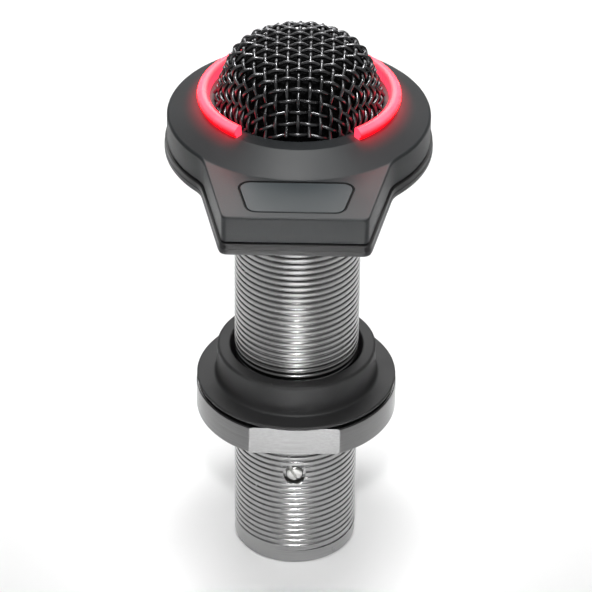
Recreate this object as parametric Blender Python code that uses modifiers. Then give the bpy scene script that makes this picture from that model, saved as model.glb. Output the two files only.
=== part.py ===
"""Flush-mount boundary microphone: a turned head with a tongue and touch pad, on a threaded barrel.

Metres, +Z up. The origin is on the barrel axis at the underside of the base plate, where the head
seats on its panel. The tongue and touch pad point to -Y. Lengths below are in millimetres.
"""

import math

import bmesh
import bpy
from mathutils import Matrix, Vector

MM = 0.001
GAP = 0.3
SIDES = 54

# Head: outline seen from above
HEAD_R = 24.35
FRONT_Y = -36.8
FRONT_HALF = 12.95
SIDE_LEAN = 12.0  # degrees the tongue's sides open toward the head
ROOT_FILLET = 6.0
FRONT_CORNER = 1.1

# Head: heights
PLATE_TOP = 2.35
PLATE_OUT = 0.5
RIM_TOP = 3.4
TONGUE_TOP = 7.8
CONE_TOP = 10.65
CONE_TOP_R = 18.4
CEILING = 8.6
TONGUE_CEILING = 5.0
WALL = 2.1

# Grille
DOME_R = 15.25
DOME_TOP = 22.3
DOME_SKIN = 1.0
DOME_HOLE_R = 15.45

# Light ring
RING_IN, RING_OUT = 16.6, 18.3
RING_BOTTOM, RING_TOP = 8.75, 12.7
RING_GAP = 37.5  # degrees from the front to each end of the ring

# Touch pad
PAD_REAR_Y, PAD_FRONT_Y = -24.95, -34.65
PAD_REAR_HALF, PAD_FRONT_HALF = 10.5, 8.35
PAD_CORNER = 1.9
PAD_BOTTOM = 6.5

# Barrel: 15/16 inch, 20 threads to the inch
BARREL_R = 11.906
BARREL_BOTTOM = -88.7
BORE_R = 9.9
SOCKET_R = 8.25
SOCKET_TOP = -60.0
FLANGE_R, FLANGE_BOTTOM, FLANGE_TOP = 14.9, 2.65, 4.2

# Mounting hardware
WASHER_BORE = 12.75
COLLAR_R, COLLAR_TOP = 15.3, -43.9
WASHER_R, WASHER_STEP, WASHER_BOTTOM = 19.2, -50.4, -51.82
NUT_R, NUT_TOP, NUT_BOTTOM = 19.31, -51.92, -57.8
NUT_FLAT = 17.3
NUT_BORE = 12.2

SCREW_Z = -67.0
CASE_SCREWS = ((13.0, -15.2), (-13.0, -15.2), (0.0, 19.9))
LED_ANGLES = (60, 108, 156, 204, 252, 300)


def clear_scene():
    for item in list(bpy.data.objects):
        bpy.data.objects.remove(item, do_unlink=True)
    for group in list(bpy.data.collections):
        bpy.data.collections.remove(group)


def make_collections():
    parts = bpy.data.collections.new("boundary_microphone")
    tools = bpy.data.collections.new("cutters")
    for group in (parts, tools):
        bpy.context.scene.collection.children.link(group)
    return parts, tools


clear_scene()
PARTS, TOOLS = make_collections()


def material(name, colour, rough, metallic=0.0):
    found = bpy.data.materials.get(name)
    if found:
        return found
    made = bpy.data.materials.new(name)
    made.use_nodes = True
    shader = made.node_tree.nodes["Principled BSDF"]
    shader.inputs["Base Color"].default_value = (*colour, 1.0)
    shader.inputs["Roughness"].default_value = rough
    shader.inputs["Metallic"].default_value = metallic
    return made


def solid(name, points, faces, skin=None, origin=(0, 0, 0)):
    """A mesh object from millimetre points; without a skin it is a hidden tool."""
    mesh = bpy.data.meshes.new(name)
    shift = Vector(origin)
    mesh.from_pydata([(Vector(p) - shift) * MM for p in points], [], faces)
    work = bmesh.new()
    work.from_mesh(mesh)
    bmesh.ops.recalc_face_normals(work, faces=work.faces)
    work.to_mesh(mesh)
    work.free()
    item = bpy.data.objects.new(name, mesh)
    item.location = shift * MM
    if skin:
        mesh.materials.append(skin)
        mesh.shade_smooth()
        mesh.set_sharp_from_angle(angle=math.radians(32))
        PARTS.objects.link(item)
    else:
        item.hide_render = True
        item.display_type = "WIRE"
        TOOLS.objects.link(item)
    return item


def combine(item, tool, operation="DIFFERENCE"):
    step = item.modifiers.new(tool.name, "BOOLEAN")
    step.operation = operation
    step.solver = "EXACT"
    step.object = tool
    return item


def read_out(item):
    """Points and faces of an object with its modifiers; the object itself is removed."""
    bpy.context.view_layer.update()
    mesh = bpy.data.meshes.new_from_object(item.evaluated_get(bpy.context.evaluated_depsgraph_get()))
    points = [tuple(v.co) for v in mesh.vertices]
    faces = [tuple(f.vertices) for f in mesh.polygons]
    for spent in (mesh, item.data):
        if spent is item.data:
            bpy.data.objects.remove(item, do_unlink=True)
        bpy.data.meshes.remove(spent)
    return points, faces


def turned(profile, sides=SIDES, centre=(0.0, 0.0), start=0.0, sweep=360.0):
    """Points and faces of a profile of (radius, height) turned about a vertical axis.

    A profile that starts and ends on the axis is solid; any other is closed on itself. The start and
    the sweep are in degrees from the front.
    """
    count = len(profile)
    edges = [(i, i + 1) for i in range(count - 1)]
    if profile[0][0] != 0 or profile[-1][0] != 0:
        edges.append((count - 1, 0))
    line = bpy.data.meshes.new("profile")
    line.from_pydata([(0.0, -r, z) for r, z in profile], edges, [])
    item = bpy.data.objects.new("profile", line)
    TOOLS.objects.link(item)
    screw = item.modifiers.new("turn", "SCREW")
    screw.angle = math.radians(sweep)
    screw.steps = screw.render_steps = sides
    screw.use_merge_vertices = True
    screw.merge_threshold = 0.0001
    points, faces = read_out(item)
    first = math.radians(start) + (0 if centre == (0.0, 0.0) else 2 * math.pi * 0.31 / sides)
    place = Matrix.Translation((*centre, 0)) @ Matrix.Rotation(first, 4, "Z")
    return [tuple(place @ Vector(p)) for p in points], faces


def lofted(rings):
    """Equal rings of points joined in order, the last to the first."""
    n, points, faces = len(rings[0]), [p for ring in rings for p in ring], []
    for i in range(len(rings)):
        j = (i + 1) % len(rings)
        for k in range(n):
            m = (k + 1) % n
            faces.append((i * n + k, i * n + m, j * n + m, j * n + k))
    return points, faces


def from_bmesh(work):
    points = [tuple(v.co) for v in work.verts]
    work.verts.index_update()
    faces = [tuple(v.index for v in f.verts) for f in work.faces]
    work.free()
    return points, faces


def prism(outline, low, high):
    """A flat outline extruded straight up."""
    work = bmesh.new()
    base = work.faces.new([work.verts.new((x, y, low)) for x, y in outline])
    grown = bmesh.ops.extrude_face_region(work, geom=[base], use_keep_orig=True)["geom"]
    raised = [v for v in grown if isinstance(v, bmesh.types.BMVert)]
    bmesh.ops.translate(work, vec=(0, 0, high - low), verts=raised)
    return from_bmesh(work)


def block(low, high):
    work = bmesh.new()
    low, high = Vector(low), Vector(high)
    bmesh.ops.create_cube(work, size=1.0)
    bmesh.ops.scale(work, vec=high - low, verts=work.verts)
    bmesh.ops.translate(work, vec=(low + high) / 2, verts=work.verts)
    return from_bmesh(work)


def turned_along(points, direction, centre):
    """The same points with their +Z laid along a direction and moved to a centre."""
    turn = Vector((0, 0, 1)).rotation_difference(Vector(direction)).to_matrix().to_4x4()
    move = Matrix.Translation(Vector(centre)) @ turn
    return [tuple(move @ Vector(p)) for p in points]


def arc(cx, cy, radius, start, stop, steps):
    return [
        (
            cx + radius * math.cos(math.radians(start + (stop - start) * i / steps)),
            cy + radius * math.sin(math.radians(start + (stop - start) * i / steps)),
        )
        for i in range(steps + 1)
    ]


def tongue_geometry(deep=FRONT_CORNER):
    """Centres of the right side's root fillet and of a front corner set in by a depth."""
    lean = math.radians(SIDE_LEAN)
    along = Vector((math.sin(lean), math.cos(lean)))
    out = Vector((math.cos(lean), -math.sin(lean)))
    start = Vector((FRONT_HALF, FRONT_Y)) + ROOT_FILLET * out
    b, c = start.dot(along), start.length_squared - (HEAD_R + ROOT_FILLET) ** 2
    root = start + (-b - math.sqrt(b * b - c)) * along
    corner_y = FRONT_Y + deep
    corner_x = FRONT_HALF + (-deep + out.y * (FRONT_Y - corner_y)) / out.x
    return root, Vector((corner_x, corner_y)), out


def outline(offset):
    """The head's outline from above, moved out by an offset, as a closed list of points."""
    corner_r = max(FRONT_CORNER + offset, 0.3)
    root, corner, out = tongue_geometry(corner_r - offset)
    side = math.degrees(math.atan2(out.y, out.x))
    toward = math.degrees(math.atan2(root.y, root.x))
    right = arc(corner.x, corner.y, corner_r, -90, side, 6)
    right += arc(root.x, root.y, ROOT_FILLET - offset, side + 180, toward + 180, 8)
    right += arc(0, 0, HEAD_R + offset, toward, 90, 80)[1:]
    return right + [(-x, y) for x, y in reversed(right[:-1])]


def polar_angles():
    """Directions from the axis used by every ring of the head, dense at the tongue's corners."""
    root, corner, out = tongue_geometry()
    marks = {round(360 * k / SIDES, 4) for k in range(SIDES)}
    for x, y in arc(corner.x, corner.y, FRONT_CORNER, -90, math.degrees(math.atan2(out.y, out.x)), 4):
        around = math.degrees(math.atan2(x, -y))
        marks |= {round(around, 4), round(360 - around, 4)}
    kept = []
    for mark in sorted(marks):
        if not kept or mark - kept[-1] > 0.25:
            kept.append(mark)
    return kept


def outline_ring(offset, height):
    """The offset outline sampled along the shared directions."""
    edge = outline(offset)
    ring = []
    for around in polar_angles():
        dx, dy = math.sin(math.radians(around)), -math.cos(math.radians(around))
        reach = 0.0
        for (ax, ay), (bx, by) in zip(edge, edge[1:] + edge[:1]):
            ca, cb = dx * ay - dy * ax, dx * by - dy * bx
            if (ca <= 0 <= cb or cb <= 0 <= ca) and ca != cb:
                t = ca / (ca - cb)
                reach = max(reach, dx * (ax + t * (bx - ax)) + dy * (ay + t * (by - ay)))
        ring.append((reach * dx, reach * dy, height))
    return ring


def circle_ring(radius, height):
    return [
        (radius * math.sin(math.radians(a)), -radius * math.cos(math.radians(a)), height)
        for a in polar_angles()
    ]


def pad_outline(offset):
    """The touch pad's rounded trapezoid, moved out by an offset."""
    lean = math.atan2(PAD_REAR_HALF - PAD_FRONT_HALF, PAD_REAR_Y - PAD_FRONT_Y)
    radius = PAD_CORNER
    mid = (PAD_REAR_HALF + PAD_FRONT_HALF) / 2
    mid_y = (PAD_REAR_Y + PAD_FRONT_Y) / 2

    def centre_x(y):
        return mid + math.tan(lean) * (y - mid_y) - radius / math.cos(lean)

    low, high = PAD_FRONT_Y + radius, PAD_REAR_Y - radius
    side = -math.degrees(lean)
    right = arc(centre_x(low), low, radius + offset, -90, side, 6)
    right += arc(centre_x(high), high, radius + offset, side, 90, 6)
    return right + [(-x, y) for x, y in reversed(right)]


def sector_block(inner, outer, start, stop, low, high, steps=49):
    """A flat-topped C seen from above, between two angles from the front."""
    rim = [math.radians(start + (stop - start) * i / steps) for i in range(steps + 1)]
    flat = [(outer * math.sin(a), -outer * math.cos(a)) for a in rim]
    flat += [(inner * math.sin(a), -inner * math.cos(a)) for a in reversed(rim)]
    return prism(flat, low, high)


PAINT = material("housing_paint", (0.055, 0.058, 0.062), 0.55)
PLATE_PAINT = material("base_paint", (0.02, 0.02, 0.021), 0.4)
NICKEL = material("satin_nickel", (0.62, 0.61, 0.58), 0.28, 1.0)
WIRE = material("black_wire", (0.03, 0.03, 0.032), 0.25, 1.0)
FOAM = material("dark_foam", (0.02, 0.02, 0.02), 0.95)
GLOW = material("red_light_guide", (0.9, 0.08, 0.12), 0.25)
PAD = material("smoked_pad", (0.09, 0.1, 0.11), 0.15)
SEAL = material("black_seal", (0.01, 0.01, 0.01), 0.7)
RUBBER = material("isolator_rubber", (0.02, 0.02, 0.02), 0.5)
STEEL = material("screw_steel", (0.5, 0.5, 0.5), 0.3, 1.0)
BOARD = material("circuit_board", (0.02, 0.16, 0.07), 0.5)
BODY = material("black_moulding", (0.02, 0.02, 0.022), 0.5)
CAN = material("capsule_can", (0.7, 0.7, 0.68), 0.3, 1.0)
GOLD = material("pin_plating", (0.75, 0.72, 0.65), 0.2, 1.0)
LAMP = material("lamp_body", (0.85, 0.2, 0.2), 0.35)
LEAD = material("lead_sleeve", (0.4, 0.03, 0.03), 0.5)


def build_housing():
    rings = [
        outline_ring(0, PLATE_TOP + GAP),
        outline_ring(0, TONGUE_TOP - 0.2),
        outline_ring(-0.2, TONGUE_TOP),
        circle_ring(HEAD_R - 0.3, TONGUE_TOP),
        circle_ring(CONE_TOP_R, CONE_TOP),
        circle_ring(DOME_HOLE_R, CONE_TOP),
        circle_ring(DOME_HOLE_R, CEILING),
        circle_ring(CONE_TOP_R + 0.2, CEILING),
        circle_ring(HEAD_R - WALL - 0.05, 6.75),
        circle_ring(HEAD_R - WALL - 0.05, TONGUE_CEILING),
        outline_ring(-WALL, TONGUE_CEILING),
        outline_ring(-WALL, PLATE_TOP + GAP),
    ]
    housing = solid("head_housing", *lofted(rings), PAINT)
    for i, (x, y) in enumerate(CASE_SCREWS):
        boss = solid(f"boss_{i}", *turned([(0, 3.7), (2.0, 3.7), (2.0, 8.4), (0, 8.4)], 24, (x, y)))
        combine(housing, boss, "UNION")
    for i, (x, y) in enumerate(CASE_SCREWS):
        hole = solid(f"boss_hole_{i}", *turned([(0, 3.0), (0.95, 3.0), (0.95, 6.1), (0, 6.1)], 20, (x, y)))
        combine(housing, hole)
    combine(housing, solid("ring_slot", *sector_block(
        RING_IN - 0.15, RING_OUT + 0.15, RING_GAP - 0.4, 360 - RING_GAP + 0.4, 8.3, 12)))
    combine(housing, solid("pad_recess", *prism(pad_outline(0.45), PAD_BOTTOM - 0.1, 9)))
    return housing


def build_base_plate():
    out = PLATE_OUT
    rings = [
        outline_ring(out - 0.7, 0),
        outline_ring(out - 0.2, 0.2),
        outline_ring(out, 0.7),
        outline_ring(out, PLATE_TOP),
        outline_ring(-WALL - GAP, PLATE_TOP),
        outline_ring(-WALL - GAP, RIM_TOP),
        outline_ring(-5.6, RIM_TOP),
        outline_ring(-5.6, PLATE_TOP),
        circle_ring(BARREL_R + 0.25, PLATE_TOP),
        circle_ring(BARREL_R + 0.25, 0),
    ]
    plate = solid("base_plate", *lofted(rings), PLATE_PAINT)
    for i, (x, y) in enumerate(CASE_SCREWS):
        seat = [(0, -1), (2.2, -1), (2.2, 0.45), (1.0, 1.65), (1.0, 4), (0, 4)]
        combine(plate, solid(f"countersink_{i}", *turned(seat, 24, (x, y))))
    for i in range(3):
        x, y = screw_place(13.45, 60 + 120 * i)
        bore = [(0, 1.0), (0.75, 1.0), (0.75, 3), (0, 3)]
        combine(plate, solid(f"tapped_{i}", *turned(bore, 16, (x, y))))
    return plate


def screw_place(radius, around):
    a = math.radians(around)
    return radius * math.sin(a), -radius * math.cos(a)


def build_case_screws():
    for i, (x, y) in enumerate(CASE_SCREWS):
        shape = [(0, 0.12), (1.85, 0.12), (1.9, 0.3), (0.75, 1.5), (0.75, 5.6), (0.4, 5.85), (0, 5.85)]
        screw = solid(f"case_screw_{i + 1}", *turned(shape, 24, (x, y)), STEEL)
        for k, wide in enumerate(((1.2, 0.22), (0.22, 1.2))):
            slot = block((x - wide[0], y - wide[1], -0.5), (x + wide[0], y + wide[1], 0.75 + 0.02 * k))
            combine(screw, solid(f"cross_{i}_{k}", *slot))


def dome_profile(inset):
    """(radius, height) from the rim up to just off the axis, moved in by an inset."""
    outer = ((DOME_R, 8.9), (DOME_R, 10.7), (14.85, 13.0), (14.1, 15.3), (13.35, 17.5), (12.45, 19.2),
             (10.9, 20.5), (8.6, 21.45), (5.0, DOME_TOP - 0.25), (0, DOME_TOP))
    moved = []
    for k, (r, z) in enumerate(outer):
        r0, z0 = outer[max(k - 1, 0)]
        r1, z1 = outer[min(k + 1, len(outer) - 1)]
        dr, dz = r1 - r0, z1 - z0
        size = math.hypot(dr, dz)
        if k == len(outer) - 1:
            moved.append((0, z - inset))
        else:
            moved.append((r - inset * dz / size, z + inset * dr / size))
    return moved


def shell_of_turning(outer, inner, sides):
    """A domed sheet open below: one profile out and up to the axis, another back down."""
    return turned(list(reversed(inner)) + list(outer), sides)


def build_grille():
    outer = [(16.25, 7.5), (16.25, 8.3), (DOME_R, 8.3)] + dome_profile(0)[1:]
    inner = [(DOME_R - DOME_SKIN, 7.5)] + dome_profile(DOME_SKIN)[1:]
    solid("grille_dome", *shell_of_turning(outer, inner, 48), WIRE)


def build_foam():
    outer = dome_profile(DOME_SKIN + 0.25)
    hollow = [(8.6, 8.9), (8.6, 15.6), (7.0, 17.0), (0, 17.2)]
    solid("foam_windscreen", *shell_of_turning(outer, hollow, 32), FOAM)


def build_capsule():
    can = [(0, 9.0), (5.9, 9.0), (6.1, 9.2), (6.1, 14.9), (5.8, 15.2), (0, 15.2)]
    solid("microphone_capsule", *turned(can, 36), CAN)
    boot = [(1.2, 7.5), (8.2, 7.5), (8.2, 12.6), (7.7, 13.1), (6.4, 13.1), (6.4, 8.7), (1.2, 8.7)]
    solid("capsule_boot", *turned(boot, 36), RUBBER)
    disc = [(3.0, 5.8), (16.25, 5.8), (16.25, 7.2), (3.0, 7.2)]
    carrier = solid("capsule_carrier", *turned(disc, 48), BODY)
    for i in range(3):
        x, y = screw_place(13.35, 120 * i)
        leg = [(0, FLANGE_TOP + GAP), (1.2, FLANGE_TOP + GAP), (1.2, 6.5), (0, 6.5)]
        combine(carrier, solid(f"leg_{i}", *turned(leg, 20, (x, y))), "UNION")


def build_light_ring():
    """A C-shaped light guide: a ridge above the head on a foot that sits in the slot."""
    section = [(RING_IN, RING_BOTTOM), (RING_OUT, RING_BOTTOM), (RING_OUT, RING_TOP - 1.8),
               (RING_OUT + 0.5, RING_TOP - 1.25), (RING_OUT + 0.35, RING_TOP - 0.65),
               (RING_OUT - 0.6, RING_TOP), (RING_IN + 0.3, RING_TOP - 0.2), (RING_IN, RING_TOP - 1.0)]
    points, faces = turned(section, 54, start=RING_GAP, sweep=360 - 2 * RING_GAP)
    work = bmesh.new()
    corners = [work.verts.new(p) for p in points]
    for face in faces:
        work.faces.new([corners[i] for i in face])
    bmesh.ops.holes_fill(work, edges=work.edges, sides=len(section))
    solid("light_ring", *from_bmesh(work), GLOW)


def build_lamps():
    ring = [(15.3, 4.5), (21.3, 4.5), (21.3, 5.3), (15.3, 5.3)]
    board = solid("lamp_board", *turned(ring, 48), BOARD)
    for i, (x, y) in enumerate(CASE_SCREWS):
        notch = turned([(0, 4), (2.4, 4), (2.4, 6), (0, 6)], 24, (x, y))
        combine(board, solid(f"notch_{i}", *notch))
    for i, around in enumerate(LED_ANGLES):
        a = math.radians(around)
        turn = Matrix.Rotation(a, 4, "Z")
        points, faces = block((-1.0, -18.35, 5.4), (1.0, -16.65, 6.4))
        solid(f"lamp_{i + 1}", [tuple(turn @ Vector(p)) for p in points], faces, LAMP)


def build_pad():
    solid("touch_pad", *prism(pad_outline(0), PAD_BOTTOM, TONGUE_TOP), PAD)
    inner, outer = pad_outline(0.06), pad_outline(0.38)
    rings = [[(x, y, z) for x, y in edge] for edge, z in (
        (inner, PAD_BOTTOM), (outer, PAD_BOTTOM), (outer, TONGUE_TOP - 0.05), (inner, TONGUE_TOP - 0.05))]
    solid("pad_seal", *lofted(rings), SEAL)
    solid("touch_sensor_board", *prism(pad_outline(-0.9), 3.8, 4.6), BOARD)


def build_barrel():
    r = BARREL_R
    shape = [(BORE_R, FLANGE_TOP), (r - 0.3, FLANGE_TOP), (r, FLANGE_TOP - 0.3), (r, BARREL_BOTTOM + 1.0),
             (r - 0.3, BARREL_BOTTOM + 0.3), (r - 1.0, BARREL_BOTTOM), (SOCKET_R, BARREL_BOTTOM)]
    shape += [(SOCKET_R, SOCKET_TOP), (BORE_R, SOCKET_TOP)]
    barrel = solid("barrel", *turned(shape), NICKEL)
    points, faces = turned([(0, -2.4), (1.0, -2.4), (1.0, 1.6), (1.95, 1.6), (1.95, 5), (0, 5)], 28)
    combine(barrel, solid("counterbore", turned_along(points, (0, -1, 0), (0, -9.0, SCREW_Z)), faces))
    return barrel


def build_flange():
    """Ring screwed on the barrel's top inside the head, with three holes for its screws."""
    shape = [(BARREL_R + 0.1, FLANGE_BOTTOM), (FLANGE_R, FLANGE_BOTTOM), (FLANGE_R, FLANGE_TOP),
             (BARREL_R + 0.1, FLANGE_TOP)]
    flange = solid("stem_flange", *turned(shape), STEEL)
    for i in range(3):
        x, y = screw_place(13.45, 60 + 120 * i)
        hole = turned([(0, 2), (0.75, 2), (0.75, 5), (0, 5)], 16, (x, y))
        combine(flange, solid(f"flange_hole_{i}", *hole))


def build_flange_screws():
    for i in range(3):
        x, y = screw_place(13.45, 60 + 120 * i)
        shape = [(0, 1.3), (0.55, 1.3), (0.55, 4.35), (1.4, 4.35), (1.4, 5.0), (1.1, 5.3), (0, 5.3)]
        screw = solid(f"flange_screw_{i + 1}", *turned(shape, 20, (x, y)), STEEL)
        combine(screw, solid(f"driver_{i}", *block((x - 2, y - 0.2, 4.85), (x + 2, y + 0.2, 6))))


def build_connector():
    body = [(0, -75.0), (7.7, -75.0), (7.95, -74.75), (7.95, -61.0), (0, -61.0)]
    insert = solid("connector_insert", *turned(body, 40), BODY)
    points, faces = turned([(0, -1), (1.0, -1), (1.0, 2.2), (0, 2.2)], 20)
    combine(insert, solid("screw_dimple", turned_along(points, (0, -1, 0), (0, -7.0, SCREW_Z)), faces))
    for i, around in enumerate((-55, 55, 180)):
        x, y = screw_place(4.95, around)
        hole = turned([(0, -80), (1.35, -80), (1.35, -55), (0, -55)], 20, (x, y))
        combine(insert, solid(f"pin_hole_{i}", *hole))
        pin = [(0, -87.2), (0.7, -87.2), (1.2, -86.5), (1.2, -58.0), (0, -58.0)]
        solid(f"connector_pin_{i + 1}", *turned(pin, 20, (x, y)), GOLD)


def build_retention_screw():
    shape = [(0, 0), (0.8, 0), (0.8, 2.2), (1.65, 2.2), (1.65, 2.9), (1.4, 3.15), (0, 3.15)]
    points, faces = turned(shape, 24)
    centre = (0, -8.6, SCREW_Z)
    screw = solid("retention_screw", turned_along(points, (0, -1, 0), centre), faces, STEEL)
    points, faces = block((-3, -0.22, -0.35), (3, 0.22, 1.5))
    lean = Matrix.Rotation(math.radians(-60), 4, "Z")
    points = [tuple(lean @ Vector(p)) for p in points]
    combine(screw, solid("slot", turned_along(points, (0, -1, 0), (0, -11.5, SCREW_Z)), faces))


def build_preamp():
    solid("preamp_board", *block((-8.4, -0.6, -54.0), (8.4, 0.6, -5.0)), BOARD)
    for i, (x, z) in enumerate(((3.6, -22.0), (-3.6, -22.0))):
        can = [(0, z - 4), (2.3, z - 4), (2.4, z - 3.9), (2.4, z + 4), (2.2, z + 4.2), (0, z + 4.2)]
        solid(f"coupling_capacitor_{i + 1}", *turned(can, 28, (x, -3.3)), CAN)
    solid("preamp_chip", *block((-3.0, -2.6, -40.0), (3.0, -0.9, -34.0)), BODY)


def tube(name, path, radius, skin):
    curve = bpy.data.curves.new(name, "CURVE")
    curve.dimensions = "3D"
    line = curve.splines.new("BEZIER")
    line.bezier_points.add(len(path) - 1)
    for knot, place in zip(line.bezier_points, path):
        knot.co = Vector(place) * MM
        knot.handle_left_type = knot.handle_right_type = "AUTO"
    line.resolution_u = 4
    curve.bevel_depth = radius * MM
    curve.bevel_resolution = 2
    curve.use_fill_caps = True
    curve.materials.append(skin)
    item = bpy.data.objects.new(name, curve)
    PARTS.objects.link(item)
    return item


def build_leads():
    for i, x in enumerate((0.7, -0.7)):
        path = [(x, 0, 8.7), (x, 0, 5), (x * 2.5, 1.0, 0), (x * 4, 2.0, -7), (x * 4, 1.6, -12)]
        tube(f"capsule_lead_{i + 1}", path, 0.4, LEAD)
    for i, around in enumerate((-55, 55, 180)):
        x, y = screw_place(4.95, around)
        path = [(x, y, -57.6), (x * 0.9, y * 0.85, -54.5), (x * 0.7, math.copysign(1.6, y), -50),
                (x * 0.7, math.copysign(1.4, y), -46)]
        tube(f"output_lead_{i + 1}", path, 0.45, LEAD)


def build_washer():
    """A tall collar with a thin flange at its foot, rounded at the rim and tapered below."""
    foot, step, top = WASHER_BOTTOM, WASHER_STEP, COLLAR_TOP
    shape = [(WASHER_BORE, foot), (WASHER_R - 1.3, foot), (WASHER_R - 0.25, foot + 0.52),
             (WASHER_R, foot + 0.92), (WASHER_R - 0.2, foot + 1.27), (WASHER_R - 0.55, step - 0.02)]
    shape += [(COLLAR_R + 0.65, step), (COLLAR_R + 0.2, step + 0.25), (COLLAR_R + 0.05, step + 0.8),
              (COLLAR_R, step + 1.4), (COLLAR_R, top - 0.9), (COLLAR_R - 0.25, top - 0.3)]
    shape += [(COLLAR_R - 0.8, top), (WASHER_BORE + 0.3, top), (WASHER_BORE, top - 0.3)]
    solid("isolator_washer", *turned(shape), RUBBER)


def build_nut():
    """A round nut with two flats, cut from a turned blank with chamfered rims."""
    rim = NUT_R - 0.35
    shape = [(NUT_BORE, NUT_TOP - 0.4), (NUT_BORE + 0.4, NUT_TOP), (rim, NUT_TOP), (NUT_R, NUT_TOP - 0.35)]
    shape += [(NUT_R, NUT_BOTTOM + 0.35), (rim, NUT_BOTTOM), (NUT_BORE + 0.4, NUT_BOTTOM),
              (NUT_BORE, NUT_BOTTOM + 0.4)]
    nut = solid("lock_nut", *turned(shape, SIDES), NICKEL)
    for i, side in enumerate((-1, 1)):
        near, far = sorted((side * NUT_FLAT, side * (NUT_FLAT + 8)))
        combine(nut, solid(f"flat_{i}", *block((-12, near, NUT_BOTTOM - 1), (12, far, NUT_TOP + 1))))


build_housing()
build_base_plate()
build_case_screws()
build_grille()
build_foam()
build_capsule()
build_light_ring()
build_lamps()
build_pad()
build_barrel()
build_flange()
build_flange_screws()
build_connector()
build_retention_screw()
build_preamp()
build_leads()
build_washer()
build_nut()
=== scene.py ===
import math

import bmesh
import bpy
import numpy as np
from mathutils import Matrix, Vector


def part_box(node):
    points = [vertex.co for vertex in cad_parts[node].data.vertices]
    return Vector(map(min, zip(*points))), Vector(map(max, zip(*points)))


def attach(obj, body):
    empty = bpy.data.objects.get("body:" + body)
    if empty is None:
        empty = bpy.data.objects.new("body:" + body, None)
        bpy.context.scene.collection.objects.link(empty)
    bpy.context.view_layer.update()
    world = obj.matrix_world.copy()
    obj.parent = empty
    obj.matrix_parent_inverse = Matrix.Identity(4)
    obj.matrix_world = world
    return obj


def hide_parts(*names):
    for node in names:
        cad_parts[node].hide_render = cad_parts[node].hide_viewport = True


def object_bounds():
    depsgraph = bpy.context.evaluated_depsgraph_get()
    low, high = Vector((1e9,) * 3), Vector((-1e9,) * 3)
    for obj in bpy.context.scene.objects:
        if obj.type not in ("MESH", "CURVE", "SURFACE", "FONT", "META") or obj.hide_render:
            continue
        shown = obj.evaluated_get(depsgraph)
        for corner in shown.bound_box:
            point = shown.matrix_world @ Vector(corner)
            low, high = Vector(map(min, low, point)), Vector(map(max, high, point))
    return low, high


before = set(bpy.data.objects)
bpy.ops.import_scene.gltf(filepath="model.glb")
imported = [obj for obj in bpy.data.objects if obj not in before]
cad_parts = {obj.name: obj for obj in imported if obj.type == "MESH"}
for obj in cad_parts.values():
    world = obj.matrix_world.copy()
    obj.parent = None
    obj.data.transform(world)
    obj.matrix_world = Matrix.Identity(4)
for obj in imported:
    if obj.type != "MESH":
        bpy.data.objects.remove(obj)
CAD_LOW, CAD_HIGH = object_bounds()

MM = 0.001

# Head outline, millimetres from the barrel axis
HEAD_R = 24.35
FRONT_Y, FRONT_HALF = -36.8, 12.95
SIDE_LEAN = 12.0
ROOT_FILLET = 6.0
FRONT_CORNER = 1.1
PLATE_TOP = 2.45
TONGUE_TOP = 7.8
CONE_TOP, CONE_TOP_R = 10.65, 18.4
GRILLE_HOLE = 15.45

# Touch pad
PAD_REAR_Y, PAD_FRONT_Y = -24.95, -34.65
PAD_REAR_HALF, PAD_FRONT_HALF = 10.5, 8.35
PAD_CORNER = 1.9

# Light ring
RING_IN, RING_OUT, RING_GAP = 16.6, 18.3, 37.5

# Painted glow: red emission on the paint beside the ring, standing in for the ring's light falling on it
SPILL_REACH, SPILL_STRENGTH = 3.6, 0.4

# Woven grille
WIRE_PITCH, WIRE_R = 2.05, 0.34
WIRES_EACH_SIDE = 10

# Barrel, its thread and its connector socket
BARREL_R, PITCH, DEPTH = 11.9, 1.27, 0.22
BARREL_TOP, BARREL_BOTTOM = 4.2, -88.7
THREAD_TOP, THREAD_BOTTOM = 1.9, -85.6
SOCKET_R, SOCKET_TOP, BORE_R = 8.25, -60.0, 9.9
COUNTERBORE_R = 2.2

# Isolating washer, and the lock nut under it
WASHER_BORE, COLLAR_R, WASHER_R = 12.75, 15.3, 19.2
WASHER_LOW, WASHER_STEP, WASHER_HIGH = -51.82, -50.4, -43.9
NUT_BORE, NUT_R, NUT_FLAT = 12.2, 19.31, 17.3
NUT_LOW, NUT_HIGH = -57.8, -51.92

# Screw that holds the connector insert: where its head starts, and its slot's turn
SCREW_Y, SLOT_TURN = -8.6, -60.0

# Camera: millimetres of lens on a 36 mm sensor, degrees round and above, metres away
LENS, SENSOR, SHIFT = 208.6115, 36.0, -0.00175676
CAMERA_ROUND, CAMERA_ABOVE, CAMERA_ROLL = 0.7, 33.87, 0.617
CAMERA_REACH, AIM_Z = 0.65474, -0.03324

# Soft lights: name, place, aim, size in metres, watts, spread in degrees
LIGHTS = (
    ("top_box", (0.0, 0.16, 0.7), (0.0, 0.16, 0.0), (0.5, 0.43), 0.5, 18.0),
    ("back_box", (0.0, 0.75, 0.5), (0.0, 0.08, -0.03), (0.9, 0.35), 1.15, 90.0),
    ("front_strip", (0.0, -0.165, 0.32), (0.0, -0.165, -0.09), (0.02, 0.19), 0.16, 14.0),
    ("low_strip", (0.0, -0.42, 0.36), (0.0, -0.03, -0.0887), (0.02, 0.1), 0.012, 10.0),
    ("front_soft", (0.0, -0.45, 0.85), (0.0, -0.02, 0.0), (0.5, 0.3), 0.9, 180.0),
)
WORLD_STRENGTH = 0.17


# ---------------------------------------------------------------- materials

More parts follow.
